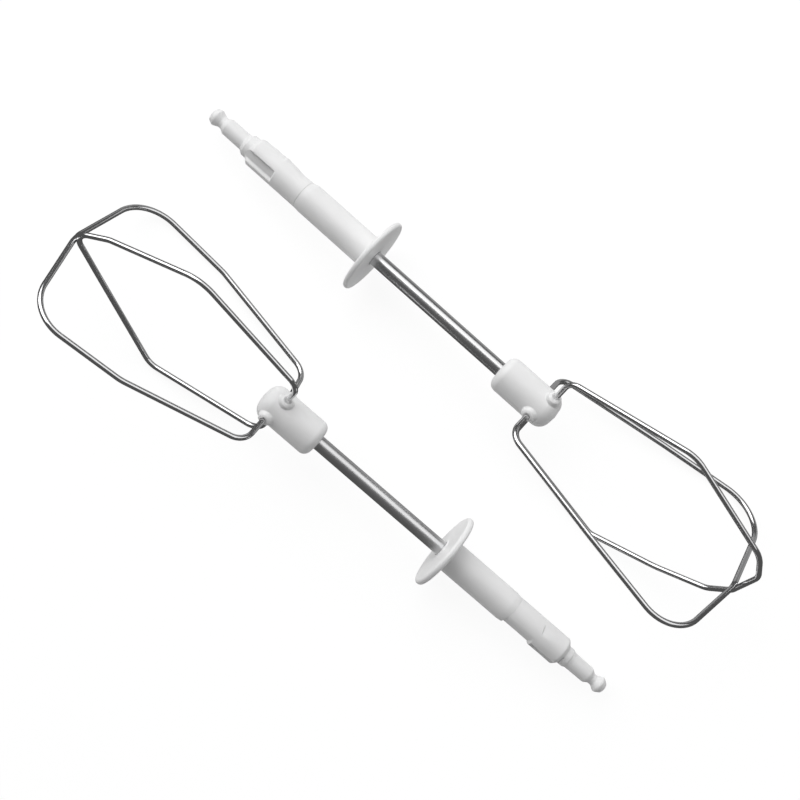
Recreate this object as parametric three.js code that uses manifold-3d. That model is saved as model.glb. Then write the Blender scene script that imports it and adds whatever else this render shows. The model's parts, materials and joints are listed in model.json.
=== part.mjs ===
// A pair of balloon whisks for a hand mixer, lying side by side and head to tail on a table.
// Millimetres, +Z up. The table is the plane z = 0 and the origin is under the middle of the pair.
// Each whisk is built along its own +X axis, from the snap knob at x = 0 to the wire loops.

import * as THREE from "three";
import { mergeVertices } from "three/addons/utils/BufferGeometryUtils.js";
import Module from "manifold-3d";

const wasm = await Module();
wasm.setup();

// ---------- driving dimensions ----------

const FIT_GAP = 0.3; // clearance between two pieces that touch
const ROUND_SIDES = 32; // facets round a turned piece
const SMALL_SIDES = 16; // facets round a boss or a socket
const WIRE_SIDES = 8;
const WIRE_STEPS = 84;

const SHAFT_RADIUS = 2.15;
const SHAFT_START = 20; // inside the drive shank
const SHAFT_DEPTH_IN_HUB = 12;
const WIRE_RADIUS = 0.8;

// Drive shank: snap knob, neck, pilot, shoulder ring, keyed drive section, then a spigot in the collar.
const KNOB = { tip: 1.3, widest: 2.0, radius: 2.6 };
const NECK = { x: 4.0, radius: 1.7 };
const PILOT = { start: 5.7, radius: 2.6 };
const RING = { start: 12.6, end: 15.4 };
const BODY = { start: 16.6, end: 34.6 };
const SPIGOT = { end: 58.0, radius: 3.2 };

// The drive section has three keys. Each is a rib, then a groove with a flat floor, then plain wall;
// the angles are measured from the whisk's y axis towards its z axis.
const KEYS = { count: 3, end: 25.2, ribHeight: 0.6, grooveRadius: 3.4, rib: [-32, -17], groove: [-12, 32] };

// Collar: a sleeve over the spigot that ends in a thin round disc, with a low boss round the shaft.
const SLEEVE = { chamferEnd: 36.4, radius: 4.68, fillet: 0.9 };
const DISC = { start: 58.9, end: 60.8, radius: 11.7, edge: 0.45 };
const DISC_BOSS = { end: 61.4, baseRadius: 4.0, topRadius: 3.6 };

// Hub: a short cylinder, rounded at the shaft end and domed at the wire end, with one boss a wire end.
const HUB = { length: 19.9, radius: 5.5, shaftEndRound: 2.4, domeLength: 3.4 };
const BOSS = { baseRadius: 2.9, topRadius: 1.9, top: 6.85, root: 4.4 };
const SOCKET_BOTTOM = 3.0;

// The wires. A loop is a row of corners, each [x, distance from the axis, bend radius]. It leaves the
// hub square to the axis at the first exit, runs down the front side, comes back up the back side and
// enters the hub at the second exit. A corner that lies off its side's plane has its own roll, fourth.
const LEFT = {
  hubStart: 106.3,
  ringRadius: 2.95,
  bodyRadius: 4.05,
  wide: {
    exits: [121.8, 121.0],
    frontRoll: 41,
    backRoll: 228,
    front: [[122.2, 16.5, 5.8], [157.4, 27.2, 13], [187.6, 30.2, 11.6], [192.9, 2.8, 6]],
    back: [[121.4, 17.4, 5.4], [157.2, 26.8, 13], [188.5, 29.6, 12], [193.0, 0.4, 6]],
  },
  kinked: {
    exits: [120.4, 120.4],
    frontRoll: 122,
    backRoll: 308,
    front: [[120.6, 15.2, 5], [158.5, 24.6, 11.7], [184.4, 9.1, 9.7], [193.3, 3.0, 4, 87]],
    back: [[120.7, 14.8, 5.6], [156.0, 25.1, 5.4], [181.9, 8.4, 6]],
  },
};
const RIGHT = {
  hubStart: 108.4,
  ringRadius: 3.4,
  bodyRadius: 4.25,
  wide: {
    exits: [122.5, 122.2],
    frontRoll: 138,
    backRoll: 311,
    front: [[122.5, 15.5, 5.2], [155.9, 24.1, 13], [188.8, 31.7, 12], [194.2, 3.2, 4]],
    back: [[122.2, 15.9, 4.8], [155.9, 24.2, 13], [190.8, 31.7, 12], [194.1, -1.7, 4]],
  },
  kinked: {
    exits: [124.9, 122.8],
    frontRoll: 52,
    backRoll: 232,
    front: [[125.3, 15.2, 4], [162.7, 25.7, 9.6], [193.6, 13.5, 8], [197.2, 6.7, 4], [195.4, -4.3, 3]],
    back: [[122.5, 17.3, 4.4], [157.4, 26.1, 3.5, 230], [176.8, 18.8, 20], [190.5, 10.9, 7]],
  },
};

// Where each whisk lies: its knob, its heading in the table plane and the tilt that its disc gives it.
const LEFT_PLACE = { knob: [92.94, -21.57], heading: 180.3, tilt: 5.24 };
const RIGHT_PLACE = { knob: [-96.46, 27.23], heading: -0.6, tilt: 5.3 };

const WHITE_PLASTIC = { color: 0xe9e9e7, roughness: 0.45, metalness: 0 };
const STEEL = { color: 0xc4c6c8, roughness: 0.18, metalness: 1 };

// ---------- solids ----------

const radians = THREE.MathUtils.degToRad;

function toSolid(geometry) {
  const bare = geometry.index ? geometry.toNonIndexed() : geometry.clone();
  bare.deleteAttribute("normal");
  bare.deleteAttribute("uv");
  const merged = mergeVertices(bare, 1e-4);
  return new wasm.Manifold(
    new wasm.Mesh({
      numProp: 3,
      vertProperties: merged.attributes.position.array,
      triVerts: new Uint32Array(merged.index.array),
    }),
  );
}

function toGeometry(solid) {
  const mesh = solid.getMesh();
  const geometry = new THREE.BufferGeometry();
  geometry.setAttribute("position", new THREE.BufferAttribute(mesh.vertProperties, mesh.numProp));
  geometry.setIndex(new THREE.BufferAttribute(mesh.triVerts, 1));
  geometry.computeVertexNormals();
  return geometry;
}

// A profile of [x, radius] points, from the axis to the axis, turned about the X axis.
function turned(profile, sides = ROUND_SIDES) {
  const points = profile.map(([x, radius]) => new THREE.Vector2(radius, x));
  const geometry = new THREE.LatheGeometry(points, sides);
  geometry.rotateZ(-Math.PI / 2);
  return toSolid(geometry);
}

function rod(from, to, radius, sides = ROUND_SIDES) {
  return turned([[from, 0], [from, radius], [to, radius], [to, 0]], sides);
}

// A turned piece stood on a radius of the whisk: its own x becomes the distance from the axis.
function radial(profile, x, roll) {
  const points = profile.map(([height, radius]) => new THREE.Vector2(radius, height));
  const geometry = new THREE.LatheGeometry(points, SMALL_SIDES);
  geometry.rotateX(radians(roll));
  geometry.translate(x, 0, 0);
  return toSolid(geometry);
}

// Points on a quarter of an ellipse, from angle a0 to a1 in degrees, about [x, radius].
function quarter([x, radius], [halfLength, halfHeight], a0, a1, steps) {
  return Array.from({ length: steps + 1 }, (_, i) => {
    const a = radians(a0 + ((a1 - a0) * i) / steps);
    return [x + halfLength * Math.cos(a), radius + halfHeight * Math.sin(a)];
  });
}

// ---------- drive shank ----------

// The keyed section, extruded along the whisk's axis.
function keySection({ bodyRadius }) {
  const outline = [];
  const add = (angle, radius) => {
    const a = radians(angle);
    outline.push(new THREE.Vector2(radius * Math.cos(a), radius * Math.sin(a)));
  };
  for (let key = 0; key < KEYS.count; key++) {
    const turn = (key * 360) / KEYS.count;
    for (const angle of KEYS.rib) add(turn + angle, bodyRadius + KEYS.ribHeight);
    for (const angle of KEYS.groove) add(turn + angle, KEYS.grooveRadius);
    for (const angle of [36, 49, 62, 75, 86]) add(turn + angle, bodyRadius);
  }
  const geometry = new THREE.ExtrudeGeometry(new THREE.Shape(outline), {
    depth: KEYS.end - BODY.start,
    bevelEnabled: false,
    steps: 1,
  });
  // The outline's x and y become the whisk's y and z, and the extrusion runs along x.
  geometry.applyMatrix4(
    new THREE.Matrix4().makeBasis(
      new THREE.Vector3(0, 1, 0),
      new THREE.Vector3(0, 0, 1),
      new THREE.Vector3(1, 0, 0),
    ),
  );
  geometry.translate(BODY.start, 0, 0);
  return toSolid(geometry);
}

function driveShank(whisk) {
  const { ringRadius, bodyRadius } = whisk;
  const core = turned([
    [0, 0],
    [0, KNOB.tip],
    [0.6, KNOB.tip + 0.9],
    [KNOB.widest, KNOB.radius],
    [NECK.x - 0.4, NECK.radius],
    [NECK.x + 0.5, NECK.radius],
    [PILOT.start, PILOT.radius],
    [RING.start, PILOT.radius],
    [RING.start + 0.8, ringRadius],
    [RING.end, ringRadius],
    [BODY.start, KEYS.grooveRadius],
    [KEYS.end, KEYS.grooveRadius],
    [KEYS.end, bodyRadius],
    [BODY.end, bodyRadius],
    [BODY.end, SPIGOT.radius],
    [SPIGOT.end, SPIGOT.radius],
    [SPIGOT.end, 0],
  ]);
  const bore = rod(SHAFT_START - FIT_GAP, SPIGOT.end + 1, SHAFT_RADIUS + FIT_GAP);
  return toGeometry(core.add(keySection(whisk)).subtract(bore));
}

// ---------- collar ----------

function collar({ bodyRadius }) {
  const start = BODY.end + FIT_GAP;
  const outside = turned([
    [start, 0],
    [start, bodyRadius],
    [SLEEVE.chamferEnd, SLEEVE.radius],
    [DISC.start - SLEEVE.fillet, SLEEVE.radius],
    [DISC.start - SLEEVE.fillet * 0.3, SLEEVE.radius + SLEEVE.fillet * 0.3],
    [DISC.start, SLEEVE.radius + SLEEVE.fillet],
    [DISC.start, DISC.radius - DISC.edge],
    [DISC.start + DISC.edge, DISC.radius],
    [DISC.end - DISC.edge, DISC.radius],
    [DISC.end, DISC.radius - DISC.edge],
    [DISC.end, DISC_BOSS.baseRadius],
    [DISC_BOSS.end, DISC_BOSS.topRadius],
    [DISC_BOSS.end, 0],
  ]);
  const spigotRoom = rod(start - 1, SPIGOT.end + FIT_GAP, SPIGOT.radius + FIT_GAP);
  const shaftRoom = rod(SPIGOT.end, DISC_BOSS.end + 1, SHAFT_RADIUS + FIT_GAP);
  return toGeometry(outside.subtract(spigotRoom).subtract(shaftRoom));
}

// ---------- shaft ----------

function shaft({ hubStart }) {
  return toGeometry(rod(SHAFT_START, hubStart + SHAFT_DEPTH_IN_HUB, SHAFT_RADIUS));
}

// ---------- hub ----------

function hub({ hubStart, wide, kinked }) {
  const round = HUB.shaftEndRound;
  const end = hubStart + HUB.length;
  let solid = turned([
    [hubStart, 0],
    ...quarter([hubStart + round, HUB.radius - round], [round, round], 180, 90, 4),
    ...quarter([end - HUB.domeLength, 0], [HUB.domeLength, HUB.radius], 90, 0, 6),
  ]);
  const ends = [wide, kinked].flatMap(({ exits, frontRoll, backRoll }) => [
    [exits[0], frontRoll],
    [exits[1], backRoll],
  ]);
  for (const [x, roll] of ends) {
    const boss = [[BOSS.root, 0], [BOSS.root, BOSS.baseRadius], [BOSS.top, BOSS.topRadius], [BOSS.top, 0]];
    solid = solid.add(radial(boss, x, roll));
  }
  for (const [x, roll] of ends) {
    const room = WIRE_RADIUS + FIT_GAP;
    const reach = BOSS.top + 1;
    const socket = [[SOCKET_BOTTOM, 0], [SOCKET_BOTTOM, room], [reach, room], [reach, 0]];
    solid = solid.subtract(radial(socket, x, roll));
  }
  const shaftEnd = hubStart + SHAFT_DEPTH_IN_HUB + FIT_GAP;
  return toGeometry(solid.subtract(rod(hubStart - 1, shaftEnd, SHAFT_RADIUS + FIT_GAP)));
}

// ---------- wire loops ----------

function onWhisk(x, distance, roll) {
  const a = radians(roll);
  return new THREE.Vector3(x, distance * Math.cos(a), distance * Math.sin(a));
}

// A wire bent at each corner: straight runs joined by curves that start one tangent length away.
function bentWire(corners) {
  const path = new THREE.CurvePath();
  let from = corners[0].at;
  for (let i = 1; i < corners.length - 1; i++) {
    const corner = corners[i].at;
    const back = corners[i - 1].at.clone().sub(corner);
    const ahead = corners[i + 1].at.clone().sub(corner);
    const halfAngle = back.angleTo(ahead) / 2;
    const tangent = Math.min(
      corners[i].bend / Math.tan(halfAngle),
      back.length() * 0.48,
      ahead.length() * 0.48,
    );
    const bendStart = corner.clone().add(back.setLength(tangent));
    const bendEnd = corner.clone().add(ahead.setLength(tangent));
    path.add(new THREE.LineCurve3(from, bendStart));
    path.add(new THREE.QuadraticBezierCurve3(bendStart, corner, bendEnd));
    from = bendEnd;
  }
  path.add(new THREE.LineCurve3(from, corners.at(-1).at));
  return path;
}

function wireLoop({ exits, frontRoll, backRoll, front, back }) {
  const root = SOCKET_BOTTOM + FIT_GAP;
  const side = (rows, roll) =>
    rows.map(([x, distance, bend, ownRoll = roll]) => ({ at: onWhisk(x, distance, ownRoll), bend }));
  const corners = [
    { at: onWhisk(exits[0], root, frontRoll) },
    ...side(front, frontRoll),
    ...side(back, backRoll).reverse(),
    { at: onWhisk(exits[1], root, backRoll) },
  ];
  const section = new THREE.Shape(
    Array.from({ length: WIRE_SIDES }, (_, i) => {
      const a = (i / WIRE_SIDES) * 2 * Math.PI;
      return new THREE.Vector2(WIRE_RADIUS * Math.cos(a), WIRE_RADIUS * Math.sin(a));
    }),
  );
  const path = bentWire(corners);
  return toGeometry(
    toSolid(new THREE.ExtrudeGeometry(section, { steps: WIRE_STEPS, extrudePath: path })),
  );
}

// ---------- the two whisks ----------

function piece(name, geometry, finish) {
  const mesh = new THREE.Mesh(geometry, new THREE.MeshStandardMaterial(finish));
  mesh.name = name;
  return mesh;
}

function whiskPieces(side, whisk) {
  return [
    piece(`${side}_drive_shank`, driveShank(whisk), WHITE_PLASTIC),
    piece(`${side}_collar`, collar(whisk), WHITE_PLASTIC),
    piece(`${side}_shaft`, shaft(whisk), STEEL),
    piece(`${side}_hub`, hub(whisk), WHITE_PLASTIC),
    piece(`${side}_wide_loop`, wireLoop(whisk.wide), STEEL),
    piece(`${side}_kinked_loop`, wireLoop(whisk.kinked), STEEL),
  ];
}

// Turns a whisk to its heading and tilt, then lowers it until it touches the table.
function layDown(pieces, { knob, heading, tilt }) {
  const tilted = new THREE.Group();
  tilted.rotation.y = -radians(tilt);
  tilted.add(...pieces);
  const whisk = new THREE.Group();
  whisk.rotation.z = radians(heading);
  whisk.add(tilted);
  const lowest = new THREE.Box3().setFromObject(whisk, true).min.z;
  whisk.position.set(knob[0], knob[1], -lowest);
  return whisk;
}

const whiskPair = new THREE.Group();
whiskPair.add(layDown(whiskPieces("left", LEFT), LEFT_PLACE));
whiskPair.add(layDown(whiskPieces("right", RIGHT), RIGHT_PLACE));

export default whiskPair;
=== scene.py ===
"""The looks of a pair of hand-mixer whisks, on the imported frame. Lengths are in millimetres along
each whisk's own x axis, from its snap knob, until a mesh is made, and in metres after that."""

import json
import math

import bpy
from mathutils import Matrix, Vector


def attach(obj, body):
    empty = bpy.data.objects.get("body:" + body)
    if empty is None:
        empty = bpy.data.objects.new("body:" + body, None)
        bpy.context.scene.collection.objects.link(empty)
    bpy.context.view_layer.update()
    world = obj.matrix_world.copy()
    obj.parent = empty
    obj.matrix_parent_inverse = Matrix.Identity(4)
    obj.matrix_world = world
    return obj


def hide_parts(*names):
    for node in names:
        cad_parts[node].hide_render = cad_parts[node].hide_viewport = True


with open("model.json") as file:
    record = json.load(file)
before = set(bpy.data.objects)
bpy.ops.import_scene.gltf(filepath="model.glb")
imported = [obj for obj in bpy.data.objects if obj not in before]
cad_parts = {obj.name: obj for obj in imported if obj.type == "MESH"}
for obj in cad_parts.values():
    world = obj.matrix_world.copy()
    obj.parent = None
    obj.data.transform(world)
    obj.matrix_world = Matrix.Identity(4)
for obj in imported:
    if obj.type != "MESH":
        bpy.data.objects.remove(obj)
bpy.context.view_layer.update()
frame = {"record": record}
MOUNTS = {m["name"]: m for m in frame["record"]["mounts"]}

MM = 0.001
SIDES = 160
HUB_SIDES = 288
SHAFT_SIDES = 96
WIRE_SIDES = 32

# The collar's face mount sits on the disc this far along the whisk and off its axis.
FACE_X = 58.9
FACE_OFFSET = 8.2

# Where grooves are cut in the shank. Their end walls lean a little round it.
GROOVES_START = 15.1
GROOVES_END = 25.0
END_LEAN = 0.35
END_WALL = (-0.35, 0.25)
# The degrees taken by a groove's two side walls.
STEEP_WALL = 5
GENTLE_WALL = 7
# The flank is full within the first angle of roll 0 and gone by the second.
FLANK_REACH = (25, 70)

# A fine line round the shank, between its pilot and its shoulder ring.
LINE = {"x": 13.1, "lean": 0.28, "half_width": 0.25, "depth": 0.1}
# Two marks on the left shank: a dent in its shoulder ring, and a shallow step across the drive section.
DENT = {"roll": 53, "reach": (18, 26), "start": (14.8, 15.1), "end": (15.6, 15.9), "depth": 0.35}
STEP = {"roll": 115, "reach": (4, 24), "x": 24.7, "run": 3.2, "wall": 0.4, "depth": 0.3, "slant": 0.3 / 16}

SPIGOT_INSET = 0.14
SHANK_END = 34.64
COLLAR_START = 34.7
SHAFT_START = 60.2
SHAFT_RADIUS = 2.15
SHAFT_IN_HUB = 0.6

HUB_LENGTH = 19.9
HUB_RADIUS = 5.5
# A boss stands round each wire end: its top's height over the whisk's axis, how far its edge is rounded
# down, how deep the hollow round the wire is, and the span from its centre over which it fades.
BOSS_TOP = 6.85
BOSS_EDGE = 0.3
BOSS_HOLLOW = 0.25
BOSS_FADE = (1.75, 2.5)
BOSS_MEAN_RADIUS = 6.0

WIRE_RADIUS = 0.8
WIRE_ROOT = 3.4

# "knob" and "flange" are outlines, as (x, radius, fillet). "flank" is how far the shank's side at roll 0
# stands out from its body, as (x, height). A groove of the drive section is its steep wall's roll, the
# way it runs round from there, its width in degrees and its flat floor's distance from the axis.
# Each loop is a row of corners, (x, distance from the axis, bend radius), down its front side and
# then, nearest the hub first, down its back side. The rolls are angles about the whisk's axis, and a
# corner that lies off its side's plane has its own roll, fourth.
WHISKS = {
    "left": {
        "body_radius": 4.4,
        "ring_radius": 2.98,
        "ring_start": 13.6,
        "knob": [(0, 1.5, 1.1), (1.9, 2.6, 0.9), (3.6, 1.62, 0.8), (4.7, 1.62, 0.7), (6.0, 2.45, 0.9)],
        "grooves": [(37, -1, 25, 3.75), (277, -1, 25, 3.75)],
        "flank": [(16.4, 0), (24.9, 0), (25.8, -0.6), (34.6, -0.6), (35.1, 0)],
        "flange": [
            (58.9, 4.64, 0.75), (58.9, 11.7, 0.85), (60.8, 11.7, 0.85), (60.8, 3.0, 0.3), (61.1, 2.8, 0.2),
        ],
        "hub_start": 106.3,
        "marked": True,
        "wide": {
            "exits": (121.8, 119.9),
            "rolls": (41, 228),
            "front": [(122.2, 16.5, 5.8), (157.4, 27.2, 13.6), (187.0, 29.9, 11.6), (192.2, 2.7, 6)],
            "back": [(121.4, 17.4, 5.4), (157.2, 26.8, 13.2), (187.9, 29.4, 12), (192.3, 0.4, 6)],
        },
        "kinked": {
            "exits": (120.4, 120.4),
            "rolls": (122, 308),
            "front": [(120.6, 15.3, 5.0), (158.5, 24.6, 11.7), (184.4, 9.1, 9.7), (193.4, 3.0, 3.9, 87)],
            "back": [(120.7, 14.8, 5.6), (156.0, 25.1, 5.4), (181.9, 8.4, 5.7)],
        },
    },
    "right": {
        "body_radius": 4.5,
        "ring_radius": 3.4,
        "ring_start": 13.5,
        "knob": [(0, 1.95, 0.7), (1.6, 2.62, 0.7), (3.4, 1.82, 0.8), (4.3, 1.82, 0.7), (5.6, 2.55, 0.6)],
        "grooves": [(100.5, 1, 44.5, 3.3), (220.5, 1, 44.5, 3.3)],
        "flank": [(16.4, -0.2), (24.8, 0.2), (26.5, 0.0), (31.8, -0.42), (34.6, -0.32), (36.9, 0)],
        "flange": [
            (59.1, 4.68, 0.6), (59.1, 6.3, 0.8), (60.0, 11.7, 0.7), (61.5, 11.7, 0.7), (61.6, 3.0, 0.3),
        ],
        "hub_start": 108.4,
        "marked": False,
        "wide": {
            "exits": (122.5, 122.2),
            "rolls": (138, 311),
            "front": [(122.5, 15.5, 5.2), (155.9, 24.1, 12.9), (189.5, 31.9, 10.5), (194.2, 3.2, 3.0)],
            "back": [(122.2, 15.9, 4.8), (155.9, 24.2, 12.9), (190.8, 31.7, 12.0), (194.1, -1.7, 3.0)],
        },
        "kinked": {
            "exits": (124.9, 122.8),
            "rolls": (52, 232),
            "front": [
                (125.3, 15.2, 4.0), (162.7, 25.7, 9.6), (193.2, 13.2, 8), (197.2, 6.7, 4), (195.4, -4.3, 3),
            ],
            "back": [(122.5, 17.3, 4.4), (157.4, 26.1, 3.5, 230), (176.8, 18.8, 20), (190.5, 10.9, 7)],
        },
    },
}


# ---------- curves and meshes ----------

def rounded(corners, arc_step, straight_step):
    """Points along straight runs joined by circular arcs. corners: [(Vector, bend radius)]. The steps
    are degrees along an arc, and the longest distance between two points."""
    points = [corners[0][0]]
    for i in range(1, len(corners) - 1):
        corner, bend = corners[i]
        back = corners[i - 1][0] - corner
        ahead = corners[i + 1][0] - corner
        turn = math.pi - back.angle(ahead)
        if bend <= 0 or turn < 1e-3:
            points.append(corner)
            continue
        back_share = 0.98 if corners[i - 1][1] <= 0 else 0.49
        ahead_share = 0.98 if corners[i + 1][1] <= 0 else 0.49
        limit = min(back.length * back_share, ahead.length * ahead_share)
        tangent = min(bend * math.tan(turn / 2), limit)
        radius = tangent / math.tan(turn / 2)
        back.normalize()
        ahead.normalize()
        centre = corner + (back + ahead).normalized() * (radius / math.cos(turn / 2))
        start = corner + back * tangent - centre
        normal = start.cross(corner + ahead * tangent - centre).normalized()
        steps = max(2, round(math.degrees(turn) / arc_step))
        for k in range(steps + 1):
            points.append(centre + Matrix.Rotation(turn * k / steps, 3, normal) @ start)
    points.append(corners[-1][0])
    filled = [points[0]]
    for a, b in zip(points, points[1:]):
        pieces = max(1, math.ceil((b - a).length / straight_step))
        filled += [a.lerp(b, k / pieces) for k in range(1, pieces + 1)]
    return filled


def smooth(edge0, edge1, value):
    t = min(1.0, max(0.0, (value - edge0) / (edge1 - edge0)))
    return t * t * (3 - 2 * t)


def make_mesh(name, rings, lengths):
    """A closed skin over rings of points, each at its length along the piece. The UV map holds that
    length in millimetres, then turns around the piece."""
    count = len(rings[0])
    verts = [p for ring in rings for p in ring]
    faces = []
    uvs = []
    for i in range(len(rings) - 1):
        for j in range(count):
            k = (j + 1) % count
            faces.append((i * count + j, (i + 1) * count + j, (i + 1) * count + k, i * count + k))
            a, b = lengths[i], lengths[i + 1]
            v0, v1 = j / count, (j + 1) / count
            uvs += [(a, v0), (b, v0), (b, v1), (a, v1)]
    last = (len(rings) - 1) * count
    faces.append(tuple(range(count)))
    faces.append(tuple(last + j for j in reversed(range(count))))
    uvs += [(lengths[0], j / count) for j in range(count)]
    uvs += [(lengths[-1], j / count) for j in reversed(range(count))]
    mesh = bpy.data.meshes.new(name)
    mesh.from_pydata(verts, [], faces)
    layer = mesh.uv_layers.new(name="along_and_around")
    for loop, uv in zip(layer.data, uvs):
        loop.uv = uv
    mesh.polygons.foreach_set("use_smooth", [True] * len(mesh.polygons))
    mesh.update()
    return mesh


def lengths_along(points):
    total = [0.0]
    for a, b in zip(points, points[1:]):
        total.append(total[-1] + (b - a).length)
    return total


def turned(name, profile, shape, sides=SIDES):
    """A skin of revolution about x. profile: [(x, radius)]. shape(x, roll, radius) is a point's radius."""
    rings = []
    for x, radius in profile:
        ring = []
        for j in range(sides):
            roll = 2 * math.pi * j / sides
            r = shape(x, math.degrees(roll), radius)
            ring.append(Vector((x, r * math.cos(roll), r * math.sin(roll))))
        rings.append(ring)
    return make_mesh(name, rings, lengths_along([Vector((x, r, 0)) for x, r in profile]))


def profile_of(corners, arc_step, step):
    points = rounded([(Vector((x, r, 0)), bend) for x, r, bend in corners], arc_step, step)
    return [(p.x, max(p.y, 0.02)) for p in points]


def tube(name, points, radius):
    """A round wire along points, with rings that don't twist."""
    rings = []
    angles = [2 * math.pi * j / WIRE_SIDES for j in range(WIRE_SIDES)]
    normal = None
    for i, p in enumerate(points):
        tangent = (points[min(i + 1, len(points) - 1)] - points[max(i - 1, 0)]).normalized()
        if normal is None:
            normal = tangent.orthogonal().normalized()
        normal = (normal - tangent * normal.dot(tangent)).normalized()
        side = tangent.cross(normal)
        rings.append([p + (normal * math.cos(a) + side * math.sin(a)) * radius for a in angles])
    return make_mesh(name, rings, lengths_along(points))


# ---------- drive shank ----------

def wrapped(angle):
    return (angle + 180) % 360 - 180


def groove_radius(roll, groove, body):
    """The shank's radius where a groove is cut: a steep wall, a flat floor and a gentler far side."""
    wall, way, width, floor_distance = groove
    a = wrapped(roll - wall) * way
    if not 0 < a < width + GENTLE_WALL:
        return body
    floor = floor_distance / math.cos(math.radians(a - (STEEP_WALL + width) / 2))
    if a < STEEP_WALL:
        return body + (floor - body) * smooth(0, STEEP_WALL, a)
    return floor + (body - floor) * smooth(width, width + GENTLE_WALL, a)


def along_table(table, x):
    """The height at x of a smooth curve through the table's (x, height) rows."""
    if x <= table[0][0]:
        return table[0][1]
    for (x0, y0), (x1, y1) in zip(table, table[1:]):
        if x < x1:
            return y0 + (y1 - y0) * smooth(x0, x1, x)
    return table[-1][1]


def flank_height(whisk, x, roll):
    return along_table(whisk["flank"], x) * (1 - smooth(*FLANK_REACH, abs(wrapped(roll))))


def dent_depth(x, roll):
    across = 1 - smooth(*DENT["reach"], abs(wrapped(roll - DENT["roll"])))
    return DENT["depth"] * smooth(*DENT["start"], x) * (1 - smooth(*DENT["end"], x)) * across


def step_depth(x, roll):
    """A slope that sinks away along the shank and ends at a wall, which leans a little round it."""
    off = roll - STEP["roll"]
    past = x - STEP["x"] - STEP["slant"] * off
    dip = max(0.0, min(1.0, 1 + past / STEP["run"])) * (1 - smooth(0.0, STEP["wall"], past))
    return STEP["depth"] * dip * (1 - smooth(*STEP["reach"], abs(off)))


def shank_shape(whisk):
    body = whisk["body_radius"]

    def shape(x, roll, radius):
        lean = math.cos(math.radians(roll))
        if x > GROOVES_START:
            radius += flank_height(whisk, x, roll) * smooth(body - 0.5, body, radius)
            past_end = x - GROOVES_END + END_LEAN * lean
            inside = 1 - smooth(*END_WALL, past_end)
            for groove in whisk["grooves"]:
                cut = groove_radius(roll, groove, body)
                radius += (min(radius, cut) - radius) * inside
        from_line = abs(x - LINE["x"] + LINE["lean"] * lean)
        if from_line < LINE["half_width"]:
            radius -= LINE["depth"] * (1 - smooth(0, LINE["half_width"], from_line))
        if whisk["marked"]:
            radius -= dent_depth(x, roll)
            radius -= step_depth(x, roll)
        return radius

    return shape


def shank_mesh(name, whisk):
    body = whisk["body_radius"]
    ring = whisk["ring_radius"]
    spigot = body - SPIGOT_INSET
    corners = [
        (0.0, 0.0, 0),
        *whisk["knob"],
        (12.4, 2.55, 0.6),
        (whisk["ring_start"], ring - 0.05, 0.3),
        (15.2, ring, 0.25),
        (16.45, body, 0.9),
        (SHANK_END, body, 0.06),
        (SHANK_END, spigot, 0),
        (36.0, spigot, 0),
        (36.0, 0.0, 0),
    ]
    return turned(name, profile_of(corners, 10, 0.12), shank_shape(whisk))


# ---------- collar ----------

def collar_mesh(name, whisk):
    body = whisk["body_radius"]
    flange = whisk["flange"]
    end = flange[-1][0]
    corners = [
        (COLLAR_START, 0.0, 0),
        (COLLAR_START, body - 0.02, 0.06),
        (36.6, flange[0][1] - 0.04, 0.9),
        *flange,
        (end, 2.5, 0.12),
        (end - 0.4, 2.25, 0.1),
        (end - 0.4, 0.0, 0),
    ]

    def shape(x, roll, radius):
        return radius + flank_height(whisk, x, roll) * smooth(2.0, body - 0.2, radius)

    return turned(name, profile_of(corners, 9, 0.4), shape)


# ---------- hub ----------

def hub_mesh(name, whisk):
    start = whisk["hub_start"]
    end = start + HUB_LENGTH
    corners = [
        (start, 0.0, 0),
        (start + 0.15, HUB_RADIUS, 2.4),
        (end - 0.7, HUB_RADIUS, 3.6),
        (end, 0.0, 0),
    ]
    bosses = [
        place
        for loop in (whisk["wide"], whisk["kinked"])
        for place in zip(loop["exits"], loop["rolls"])
    ]

    def shape(x, roll, radius):
        out = radius
        for boss_x, boss_roll in bosses:
            around = math.radians(wrapped(roll - boss_roll)) * BOSS_MEAN_RADIUS
            distance = math.hypot(x - boss_x, around)
            if distance < BOSS_FADE[1]:
                edge = BOSS_EDGE * smooth(1.1, 2.0, distance)
                hollow = BOSS_HOLLOW * (1 - smooth(WIRE_RADIUS, 1.15, distance))
                top = BOSS_TOP - edge - hollow
                out = max(out, radius + (top - radius) * (1 - smooth(*BOSS_FADE, distance)))
        return out

    return turned(name, profile_of(corners, 5, 0.12), shape, HUB_SIDES)


# ---------- shaft and wires ----------

def shaft_mesh(name, whisk):
    end = whisk["hub_start"] + SHAFT_IN_HUB
    steps = 60
    profile = [(SHAFT_START + (end - SHAFT_START) * k / steps, SHAFT_RADIUS) for k in range(steps + 1)]
    return turned(name, profile, lambda x, roll, radius: radius, SHAFT_SIDES)


def on_whisk(x, distance, roll):
    a = math.radians(roll)
    return Vector((x, distance * math.cos(a), distance * math.sin(a)))


def loop_mesh(name, loop):
    def side(rows, roll):
        return [(on_whisk(x, r, *(own or [roll])), bend) for x, r, bend, *own in rows]

    roots = [(on_whisk(x, WIRE_ROOT, roll), 0) for x, roll in zip(loop["exits"], loop["rolls"])]
    front = side(loop["front"], loop["rolls"][0])
    back = side(loop["back"], loop["rolls"][1])
    corners = [roots[0], *front, *reversed(back), roots[1]]
    return tube(name, rounded(corners, 3.0, 1.0), WIRE_RADIUS)


# ---------- materials ----------

def new_material(name):
    material = bpy.data.materials.new(name)
    material.use_nodes = True
    tree = material.node_tree
    return material, tree, tree.nodes["Principled BSDF"]


def noise(tree, source, scale, detail=3.0):
    node = tree.nodes.new("ShaderNodeTexNoise")
    node.inputs["Scale"].default_value = scale
    node.inputs["Detail"].default_value = detail
    tree.links.new(source, node.inputs["Vector"])
    return node.outputs["Fac"]


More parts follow.
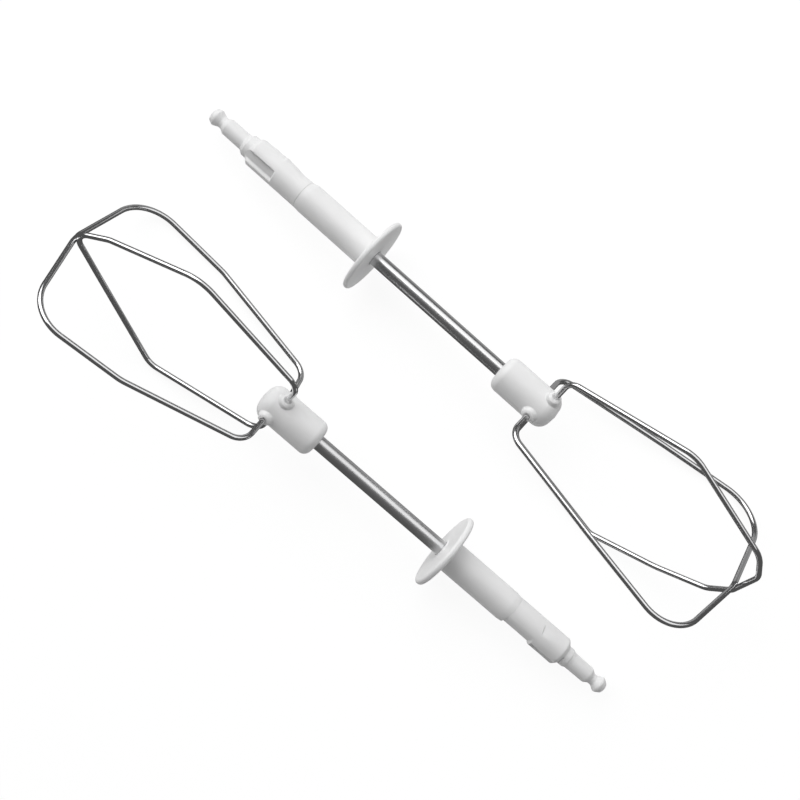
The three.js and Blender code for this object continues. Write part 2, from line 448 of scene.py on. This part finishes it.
def ranged(tree, value, low, high):
    node = tree.nodes.new("ShaderNodeMapRange")
    node.inputs["To Min"].default_value = low
    node.inputs["To Max"].default_value = high
    tree.links.new(value, node.inputs["Value"])
    return node.outputs["Result"]


def bump(tree, shader, height, strength, distance):
    node = tree.nodes.new("ShaderNodeBump")
    node.inputs["Strength"].default_value = strength
    node.inputs["Distance"].default_value = distance
    tree.links.new(height, node.inputs["Height"])
    tree.links.new(node.outputs["Normal"], shader.inputs["Normal"])


def tinted(tree, value, *stops):
    """A colour from a value, between two (position, colour) stops."""
    node = tree.nodes.new("ShaderNodeValToRGB")
    for element, (position, colour) in zip(node.color_ramp.elements, stops):
        element.position = position
        element.color = colour
    tree.links.new(value, node.inputs["Fac"])
    return node.outputs["Color"]


def white_plastic():
    material, tree, shader = new_material("white_moulded_plastic")
    place = tree.nodes.new("ShaderNodeTexCoord").outputs["Object"]
    clouds = noise(tree, place, 120, 4)
    tint = tinted(tree, clouds, (0.3, (0.78, 0.78, 0.782, 1)), (0.7, (0.825, 0.825, 0.825, 1)))
    tree.links.new(tint, shader.inputs["Base Color"])
    tree.links.new(ranged(tree, noise(tree, place, 900), 0.36, 0.5), shader.inputs["Roughness"])
    shader.inputs["Subsurface Weight"].default_value = 0.12
    shader.inputs["Subsurface Radius"].default_value = (1.0, 1.0, 1.0)
    shader.inputs["Subsurface Scale"].default_value = 0.0008
    shader.inputs["IOR"].default_value = 1.49
    bump(tree, shader, noise(tree, place, 5200, 2), 0.18, 0.00003)
    return material


def steel(name, low, high, stretch):
    """Drawn and polished steel, its roughness between low and high: fine lines run along the piece.
    stretch is how many lines there are to a millimetre along it, and to a turn around it."""
    material, tree, shader = new_material(name)
    coordinates = tree.nodes.new("ShaderNodeTexCoord")
    mapping = tree.nodes.new("ShaderNodeMapping")
    mapping.inputs["Scale"].default_value = (*stretch, 1)
    tree.links.new(coordinates.outputs["UV"], mapping.inputs["Vector"])
    lines = noise(tree, mapping.outputs["Vector"], 1.0, 4)
    clouds = noise(tree, coordinates.outputs["Object"], 60)
    tint = tinted(tree, clouds, (0.25, (0.66, 0.66, 0.665, 1)), (0.75, (0.74, 0.74, 0.745, 1)))
    tree.links.new(tint, shader.inputs["Base Color"])
    shader.inputs["Metallic"].default_value = 1.0
    tree.links.new(ranged(tree, lines, low, high), shader.inputs["Roughness"])
    bump(tree, shader, lines, 0.1, 0.000005)
    return material


PLASTIC = white_plastic()
WIRE_STEEL = steel("polished_wire", 0.1, 0.2, (0.02, 18))
SHAFT_STEEL = {
    "left": steel("brushed_shaft", 0.3, 0.4, (0.02, 40)),
    "right": steel("polished_shaft", 0.2, 0.3, (0.02, 40)),
}


# ---------- the two whisks ----------

def whisk_matrix(mount):
    """From a whisk's own millimetres to the frame: its collar's face mount fixes where it lies."""
    x = -Vector(mount["axis"]).normalized()
    y = Vector((0, 0, 1)).cross(x).normalized()
    z = x.cross(y)
    knob = Vector(mount["pos_m"]) - x * FACE_X * MM - z * FACE_OFFSET * MM
    turn = Matrix((x, y, z)).transposed().to_4x4()
    return Matrix.Translation(knob) @ turn @ Matrix.Scale(MM, 4)


def add_piece(side, part, mesh, material):
    mesh.transform(whisk_matrix(MOUNTS[f"{side}_collar_face"]))
    mesh.materials.append(material)
    piece = bpy.data.objects.new(mesh.name, mesh)
    bpy.context.scene.collection.objects.link(piece)
    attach(piece, f"{side}_whisk")
    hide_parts(f"{side}_{part}")


for side, whisk in WHISKS.items():
    label = f"{side}_whisk_"
    add_piece(side, "drive_shank", shank_mesh(label + "drive_shank", whisk), PLASTIC)
    add_piece(side, "collar", collar_mesh(label + "collar", whisk), PLASTIC)
    add_piece(side, "hub", hub_mesh(label + "hub", whisk), PLASTIC)
    add_piece(side, "shaft", shaft_mesh(label + "shaft", whisk), SHAFT_STEEL[side])
    for kind in ("wide", "kinked"):
        mesh = loop_mesh(f"{label}{kind}_loop", whisk[kind])
        add_piece(side, f"{kind}_loop", mesh, WIRE_STEEL)


# ---------- floor, light and camera ----------

def floor():
    material, _, shader = new_material("pale_floor")
    shader.inputs["Base Color"].default_value = (0.12, 0.12, 0.12, 1)
    shader.inputs["Roughness"].default_value = 0.9
    shader.inputs["Emission Color"].default_value = (1, 1, 1, 1)
    shader.inputs["Emission Strength"].default_value = 0.9
    mesh = bpy.data.meshes.new("floor")
    half = 3.0
    corners = [(-half, -half, 0), (half, -half, 0), (half, half, 0), (-half, half, 0)]
    mesh.from_pydata(corners, [], [(0, 1, 2, 3)])
    mesh.materials.append(material)
    plane = bpy.data.objects.new("floor", mesh)
    bpy.context.scene.collection.objects.link(plane)
    plane.visible_glossy = False


def area_light(name, offset, size, power):
    """A rectangular lamp, offset from the pair's centre and aimed at it."""
    light = bpy.data.lights.new(name, "AREA")
    light.shape = "RECTANGLE"
    light.size, light.size_y = size
    light.energy = power
    lamp = bpy.data.objects.new(name, light)
    lamp.location = CENTRE + Vector(offset)
    lamp.rotation_euler = (CENTRE - lamp.location).to_track_quat("-Z", "Y").to_euler()
    bpy.context.scene.collection.objects.link(lamp)


# The camera looks straight down on the pair's centre. These are its right and its top.
CENTRE = Vector((-0.00376, 0.00153, 0))
CAMERA_RIGHT = Vector((0.75, 0.6613, 0)).normalized()
CAMERA_TOP = Vector((-0.6613, 0.75, 0)).normalized()
CAMERA_HEIGHT = 0.457

floor()
area_light("key", (-1.9, 0.65, 1.7), (2.8, 2.6), 56)
area_light("strip", (0, 0.5, 0.64), (1.6, 0.85), 4.6)
# The floor lets reflections through, so this lamp under it shows only as a grey edge along the steel.
area_light("edge", (0, 0.7, -0.5), (1.6, 0.9), 1.2)

world = bpy.data.worlds.new("studio")
world.use_nodes = True
world.node_tree.nodes["Background"].inputs["Color"].default_value = (1, 1, 1, 1)
world.node_tree.nodes["Background"].inputs["Strength"].default_value = 0.1
bpy.context.scene.world = world
bpy.context.scene.view_settings.view_transform = "Standard"

camera_data = bpy.data.cameras.new("camera")
camera_data.lens = 72
camera_data.sensor_width = 36
camera = bpy.data.objects.new("camera", camera_data)
axes = Matrix((CAMERA_RIGHT, CAMERA_TOP, Vector((0, 0, 1)))).transposed().to_4x4()
camera.matrix_world = Matrix.Translation(CENTRE + Vector((0, 0, CAMERA_HEIGHT))) @ axes
bpy.context.scene.collection.objects.link(camera)
bpy.context.scene.camera = camera
